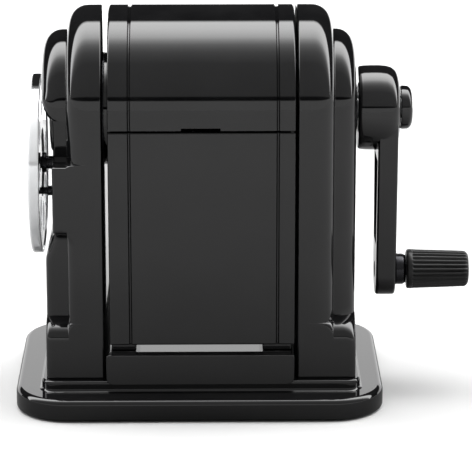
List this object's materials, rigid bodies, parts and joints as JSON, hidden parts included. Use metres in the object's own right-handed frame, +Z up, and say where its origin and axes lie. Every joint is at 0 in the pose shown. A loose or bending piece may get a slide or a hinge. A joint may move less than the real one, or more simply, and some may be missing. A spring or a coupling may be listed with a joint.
{
  "type": "pencil sharpener",
  "caption": "Hand-cranked pencil sharpener on a heavy base, with a turning size dial, geared cutters inside, a side crank with a spinning grip and a pull-out shavings receptacle.",
  "frame": {"origin": "on the base pad's underside, straight below the cutter axis and midway between the base's near and far edges", "axes": "+X along the cutter axis towards the crank, +Y away from the receptacle's pull-out face, +Z up"},
  "size_m": [0.1661, 0.094, 0.1425],
  "materials": {
    "enamel": "deep gloss black enamel",
    "pad_rubber": "matte non-slip pad",
    "plain_steel": "zinc plated",
    "cutter_steel": "ground tool steel",
    "black_steel": "blackened steel",
    "bronze": "sintered bronze",
    "dial_chrome": "polished chrome",
    "grip_plastic": "matte ribbed plastic"
  },
  "bodies": {
    "frame": {"base_plate": "enamel", "base_pad": "pad_rubber", "entry_upright": "enamel", "crank_upright": "enamel", "upright_screw_1": "plain_steel", "upright_screw_2": "plain_steel", "upright_screw_3": "plain_steel", "upright_screw_4": "plain_steel", "receptacle_guide": "enamel", "guide_screw_1": "plain_steel", "guide_screw_2": "plain_steel", "lock_spring": "plain_steel", "dome_cover": "enamel", "rear_panel": "enamel", "cover_screw_1": "plain_steel", "cover_screw_2": "plain_steel", "ring_gear": "black_steel", "ring_gear_screw_1": "plain_steel", "ring_gear_screw_2": "plain_steel", "ring_gear_screw_3": "plain_steel", "crank_bush": "bronze", "thrust_washer": "black_steel", "dial_pivot": "black_steel", "detent_spring": "plain_steel"},
    "receptacle": {"receptacle": "enamel"},
    "crank": {"crank_arm": "enamel", "crank_cap_nut": "enamel", "drive_shaft": "plain_steel", "cutter_carrier": "cutter_steel", "cutter_pin_1": "cutter_steel", "cutter_pin_2": "cutter_steel", "grip_spindle": "black_steel"},
    "grip": {"grip": "grip_plastic"},
    "cutter_1": {"cutter_1": "cutter_steel"},
    "cutter_2": {"cutter_2": "cutter_steel"},
    "dial": {"dial": "dial_chrome"},
    "detent": {"detent_plunger": "black_steel"}
  },
  "joints": [
    {"name": "receptacle_slide", "type": "slide", "parent": "frame", "child": "receptacle", "axis": [0, -1, 0], "range_m": [0, 0.075]},
    {"name": "crank_turn", "type": "hinge", "parent": "frame", "child": "crank", "pos_m": [0.0636, 0, 0.1046], "axis": [1, 0, 0], "continuous": true},
    {"name": "grip_spin", "type": "hinge", "parent": "crank", "child": "grip", "pos_m": [0.0865, 0, 0.043], "axis": [1, 0, 0], "continuous": true},
    {"name": "cutter_1_spin", "type": "hinge", "parent": "crank", "child": "cutter_1", "pos_m": [-0.027, 0, 0.1154], "axis": [0.9799, 0, -0.1994], "continuous": true},
    {"name": "cutter_2_spin", "type": "hinge", "parent": "crank", "child": "cutter_2", "pos_m": [-0.027, 0, 0.0938], "axis": [0.9799, 0, 0.1994], "continuous": true},
    {"name": "dial_turn", "type": "hinge", "parent": "frame", "child": "dial", "pos_m": [-0.061, 0, 0.0842], "axis": [1, 0, 0], "continuous": true},
    {"name": "detent_push", "type": "slide", "parent": "frame", "child": "detent", "axis": [1, 0, 0], "range_m": [0, 0.0015], "stiffness_N_per_m": 500, "springref_m": -0.001, "deforming": ["detent_spring"]}
  ],
  "couplings": [
    {"joint": "cutter_1_spin", "follows": "crank_turn", "ratio": -3},
    {"joint": "cutter_2_spin", "follows": "crank_turn", "ratio": -3}
  ]
}
